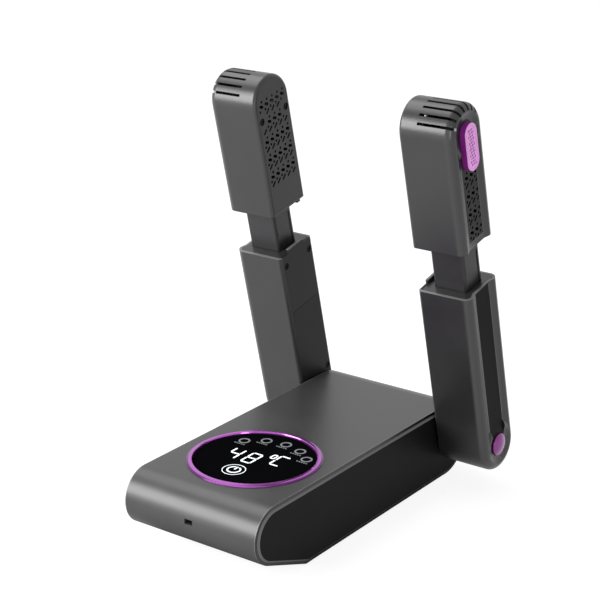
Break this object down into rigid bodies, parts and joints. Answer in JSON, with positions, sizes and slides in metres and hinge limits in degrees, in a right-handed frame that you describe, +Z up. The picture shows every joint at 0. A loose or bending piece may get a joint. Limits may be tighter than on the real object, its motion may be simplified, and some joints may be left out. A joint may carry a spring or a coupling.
{
  "type": "shoe dryer",
  "caption": "Folding shoe dryer: wedge-nosed base with a round touch display and two hinged arms that carry telescopic, perforated blower heads.",
  "frame": {"origin": "on the surface the feet stand on, under the middle of the base", "axes": "+Z up, -Y towards the nose with the cord outlet, +X towards the right arm as seen from the nose"},
  "size_m": [0.2046, 0.255, 0.2949],
  "materials": {
    "base_grey": "fine matte texture",
    "base_black": "matte",
    "cap_black": "satin, with a bright bevelled edge",
    "rubber": "matte",
    "screw_black": "black oxide",
    "purple_gloss": "plated purple",
    "lilac_gloss": "glossy lilac",
    "lilac_mesh": "perforated lilac",
    "display_black": "polished black",
    "led_white": "lit white",
    "board_green": "solder mask",
    "frame_grey": "moulded",
    "steel": "turned",
    "nylon_black": "matte",
    "brass": "plain",
    "arm_grey": "fine matte texture",
    "panel_black": "matte",
    "cover_grey": "matte",
    "tube_grey": "smooth",
    "fan_black": "matte",
    "aluminium_fins": "plain"
  },
  "bodies": {
    "base": {"base_shell": "base_grey", "bottom_cover": "base_black", "left_side_cap": "cap_black", "right_side_cap": "cap_black", "rubber_feet": "rubber", "base_screws": "screw_black", "display_ring": "purple_gloss", "display_glass": "display_black", "temperature_digits": "led_white", "function_icons": "led_white", "power_symbol": "led_white", "display_board": "board_green", "main_board": "board_green", "power_supply": "board_green", "cord_grommet": "rubber", "left_hinge_block": "frame_grey", "right_hinge_block": "frame_grey"},
    "left_arm": {"left_hinge_shaft": "steel", "left_gap_washer": "nylon_black", "left_friction_washer": "brass", "left_shaft_nut": "steel", "left_casing_shell": "arm_grey", "left_casing_panel": "panel_black", "left_hinge_cover": "cover_grey", "left_inner_cover": "cover_grey", "left_hinge_cap": "purple_gloss", "left_casing_collar": "arm_grey", "left_casing_screws": "screw_black"},
    "left_head": {"left_slide_tube": "tube_grey", "left_head_shell": "arm_grey", "left_head_grille": "panel_black", "left_head_cover": "cover_grey", "left_oval_ring": "lilac_gloss", "left_oval_mesh": "lilac_mesh", "left_fan_frame": "fan_black", "left_heater": "aluminium_fins", "left_head_screws": "screw_black"},
    "left_fan": {"left_fan_impeller": "fan_black"},
    "right_arm": {"right_hinge_shaft": "steel", "right_gap_washer": "nylon_black", "right_friction_washer": "brass", "right_shaft_nut": "steel", "right_casing_shell": "arm_grey", "right_casing_panel": "panel_black", "right_hinge_cover": "cover_grey", "right_inner_cover": "cover_grey", "right_hinge_cap": "purple_gloss", "right_casing_collar": "arm_grey", "right_casing_screws": "screw_black"},
    "right_head": {"right_slide_tube": "tube_grey", "right_head_shell": "arm_grey", "right_head_grille": "panel_black", "right_head_cover": "cover_grey", "right_oval_ring": "lilac_gloss", "right_oval_mesh": "lilac_mesh", "right_fan_frame": "fan_black", "right_heater": "aluminium_fins", "right_head_screws": "screw_black"},
    "right_fan": {"right_fan_impeller": "fan_black"}
  },
  "joints": [
    {"name": "left_arm_fold", "type": "hinge", "parent": "base", "child": "left_arm", "pos_m": [-0.0586, 0.0998, 0.0364], "axis": [1, 0, 0], "range_deg": [-23.4, 76.6]},
    {"name": "left_head_slide", "type": "slide", "parent": "left_arm", "child": "left_head", "axis": [0, -0.2317, 0.9728], "range_m": [-0.0305, 0.006]},
    {"name": "left_fan_spin", "type": "hinge", "parent": "left_head", "child": "left_fan", "pos_m": [-0.0896, 0.04518, 0.26568], "axis": [1, 0, 0], "continuous": true},
    {"name": "right_arm_fold", "type": "hinge", "parent": "base", "child": "right_arm", "pos_m": [0.0586, 0.0998, 0.0364], "axis": [1, 0, 0], "range_deg": [-23.4, 76.6]},
    {"name": "right_head_slide", "type": "slide", "parent": "right_arm", "child": "right_head", "axis": [0, -0.2317, 0.9728], "range_m": [-0.0305, 0.006]},
    {"name": "right_fan_spin", "type": "hinge", "parent": "right_head", "child": "right_fan", "pos_m": [0.0896, 0.04518, 0.26568], "axis": [1, 0, 0], "continuous": true}
  ]
}
